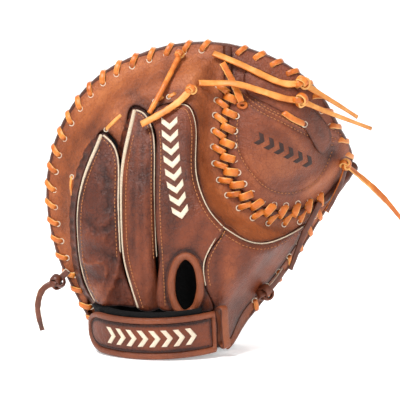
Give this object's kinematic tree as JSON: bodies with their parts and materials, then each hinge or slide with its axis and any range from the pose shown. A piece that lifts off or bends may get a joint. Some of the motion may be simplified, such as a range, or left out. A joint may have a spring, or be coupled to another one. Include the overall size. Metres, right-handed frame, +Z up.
{
  "type": "baseball catcher's mitt",
  "caption": "Closed-back catcher's mitt with laced rim and web, finger stalls, finger hole and a hook-and-loop wrist strap.",
  "frame": {"origin": "on the heel's flat rest, at the thumb's edge of the palm's heel pad", "axes": "+Z up from the heel to the web, +Y out of the pocket, +X from the pinky to the thumb as the back of the mitt is faced"},
  "size_m": [0.3546, 0.153, 0.2859],
  "materials": {
    "back_leather": "oiled satin",
    "dark_leather": "oiled satin, creased",
    "pocket_leather": "oiled satin, broken in",
    "binding_leather": "oiled satin",
    "tan_lace": "satin rawhide",
    "dark_lace": "satin rawhide",
    "cream_trim": "matt thread and raw leather edge",
    "felt": "matt wool felt",
    "lining": "matt brushed lining",
    "hook_and_loop": "matt"
  },
  "bodies": {
    "finger_side": {"finger_hole_binding": "binding_leather", "finger_lace_button": "tan_lace", "flat_finger_lace": "tan_lace", "hand_back_emblem": "cream_trim", "hand_back_leather": "back_leather", "hand_back_lining": "lining", "hand_back_piping": "cream_trim", "loop_patch": "hook_and_loop", "lower_web_lace": "tan_lace", "outer_back_leather_finger_side": "back_leather", "palm_felt_finger_side": "felt", "palm_leather_finger_side": "pocket_leather", "palm_lining": "lining", "pinky_finger_divider": "back_leather", "pinky_heel_lace": "dark_lace", "pinky_heel_lace_knot": "dark_lace", "pinky_stall_gusset": "dark_leather", "pinky_stall_leather": "dark_leather", "pinky_stall_welt": "cream_trim", "rim_lace_finger_side": "tan_lace", "rim_roll_finger_side": "back_leather", "ring_finger_divider": "back_leather", "ring_stall_leather": "back_leather", "ring_stall_welt": "cream_trim", "round_finger_lace": "dark_lace", "strap_keeper": "binding_leather", "thumb_back_leather_finger_side": "back_leather", "upper_web_lace": "tan_lace", "web_back_leather_finger_side": "back_leather", "web_core_strip_finger_side": "back_leather", "web_edge_lace": "dark_lace", "web_felt_finger_side": "felt", "web_front_leather_finger_side": "pocket_leather", "web_lace_finger_side": "tan_lace", "web_lace_knots": "tan_lace", "web_top_band_finger_side": "back_leather", "wrist_band": "back_leather"},
    "thumb_side": {"hanging_thumb_lace": "dark_lace", "outer_back_leather_thumb_side": "back_leather", "palm_felt_thumb_side": "felt", "palm_leather_thumb_side": "pocket_leather", "rim_lace_thumb_side": "tan_lace", "rim_roll_thumb_side": "back_leather", "thumb_back_leather_thumb_side": "back_leather", "thumb_edge_lace": "dark_lace", "thumb_lace": "tan_lace", "thumb_lace_knots": "tan_lace", "thumb_lining": "lining", "thumb_piping": "cream_trim", "web_back_leather_thumb_side": "back_leather", "web_core_strip_thumb_side": "back_leather", "web_felt_thumb_side": "felt", "web_front_leather_thumb_side": "pocket_leather", "web_lace_thumb_side": "tan_lace", "web_top_band_thumb_side": "back_leather"},
    "wrist_strap": {"hook_patch": "hook_and_loop", "strap_binding": "binding_leather", "strap_emblem": "cream_trim", "strap_leather": "back_leather", "strap_lining": "lining"}
  },
  "joints": [
    {"name": "mitt_close", "type": "hinge", "parent": "finger_side", "child": "thumb_side", "pos_m": [-0.005, -0.02, 0], "axis": [0.342, 0, 0.9397], "range_deg": [0, 24]},
    {"name": "strap_open", "type": "hinge", "parent": "finger_side", "child": "wrist_strap", "pos_m": [0.01442, -0.03995, 0.02286], "axis": [-0.0523, -0.1217, 0.9912], "range_deg": [0, 100]}
  ]
}
